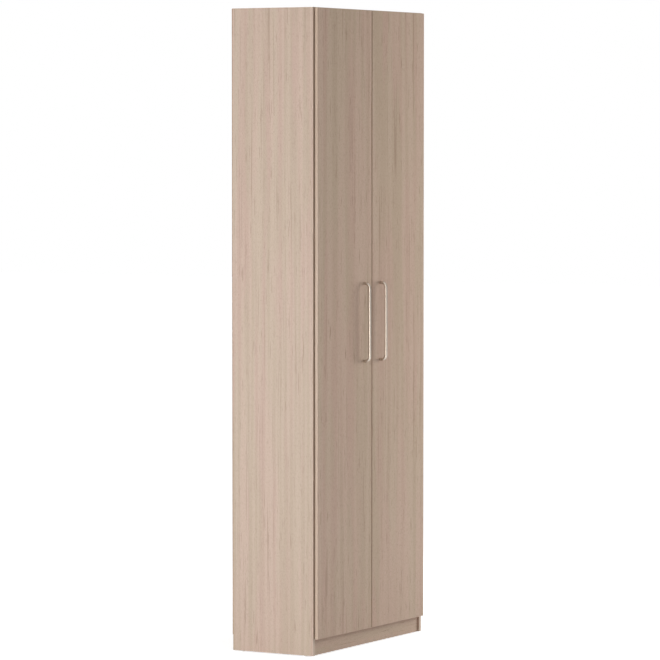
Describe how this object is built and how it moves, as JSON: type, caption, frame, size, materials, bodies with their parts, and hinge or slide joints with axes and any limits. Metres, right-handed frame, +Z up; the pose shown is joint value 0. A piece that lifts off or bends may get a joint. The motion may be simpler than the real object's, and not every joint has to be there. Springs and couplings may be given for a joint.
{
  "type": "two-door wardrobe",
  "caption": "Tall narrow wardrobe with two hinged doors, bow handles, a fixed hat shelf, a hanging rail and a loose shoe shelf, on a recessed plinth.",
  "frame": {"origin": "on the floor, at the middle of the bounding box seen from above, handles included, doors shut", "axes": "+X from left to right as seen from the front, +Y from the front to the back, +Z up"},
  "size_m": [0.8, 0.38, 2.3],
  "materials": {
    "melamine_ash": "melamine board with a fine upright ash grain, satin",
    "abs_edging": "plastic edging printed to match the board",
    "lacquered_hardboard": "thin hardboard, pale lacquer",
    "white_plastic": "moulded white plastic",
    "zinc_plated_steel": "bright zinc plate, dull",
    "nickel_plated_steel": "nickel plate, satin",
    "satin_steel": "satin nickel on round steel",
    "beech": "turned beech, bare",
    "clear_rubber": "pale soft rubber"
  },
  "bodies": {
    "carcass": {"side_left": "melamine_ash", "side_right": "melamine_ash", "top_panel": "melamine_ash", "bottom_panel": "melamine_ash", "plinth_front": "melamine_ash", "plinth_rear": "melamine_ash", "hat_shelf": "melamine_ash", "shoe_shelf": "melamine_ash", "carcass_edging": "abs_edging", "back_upper": "lacquered_hardboard", "back_lower": "lacquered_hardboard", "back_joiner": "white_plastic", "cam_locks": "zinc_plated_steel", "cam_bolts": "zinc_plated_steel", "dowels": "beech", "shelf_pins": "nickel_plated_steel", "glides": "white_plastic", "wall_brackets": "zinc_plated_steel", "bracket_screws": "zinc_plated_steel", "hanging_rail": "satin_steel", "rail_brackets": "nickel_plated_steel", "rail_caps": "white_plastic", "rail_screws": "zinc_plated_steel", "hinge_plates": "nickel_plated_steel", "plate_screws": "zinc_plated_steel", "hinge_arms": "nickel_plated_steel", "arm_screws": "zinc_plated_steel"},
    "door_left": {"door_left": "melamine_ash", "door_edging_left": "abs_edging", "hinge_cups_left": "nickel_plated_steel", "hinge_pins_left": "zinc_plated_steel", "cup_screws_left": "zinc_plated_steel", "handle_left": "satin_steel", "handle_screws_left": "zinc_plated_steel", "bumpers_left": "clear_rubber"},
    "door_right": {"door_right": "melamine_ash", "door_edging_right": "abs_edging", "hinge_cups_right": "nickel_plated_steel", "hinge_pins_right": "zinc_plated_steel", "cup_screws_right": "zinc_plated_steel", "handle_right": "satin_steel", "handle_screws_right": "zinc_plated_steel", "bumpers_right": "clear_rubber"}
  },
  "joints": [
    {"name": "door_left_hinge", "type": "hinge", "parent": "carcass", "child": "door_left", "pos_m": [-0.3835, -0.155, 1.18], "axis": [0, 0, -1], "range_deg": [0, 100]},
    {"name": "door_right_hinge", "type": "hinge", "parent": "carcass", "child": "door_right", "pos_m": [0.3835, -0.155, 1.18], "axis": [0, 0, 1], "range_deg": [0, 100]}
  ]
}
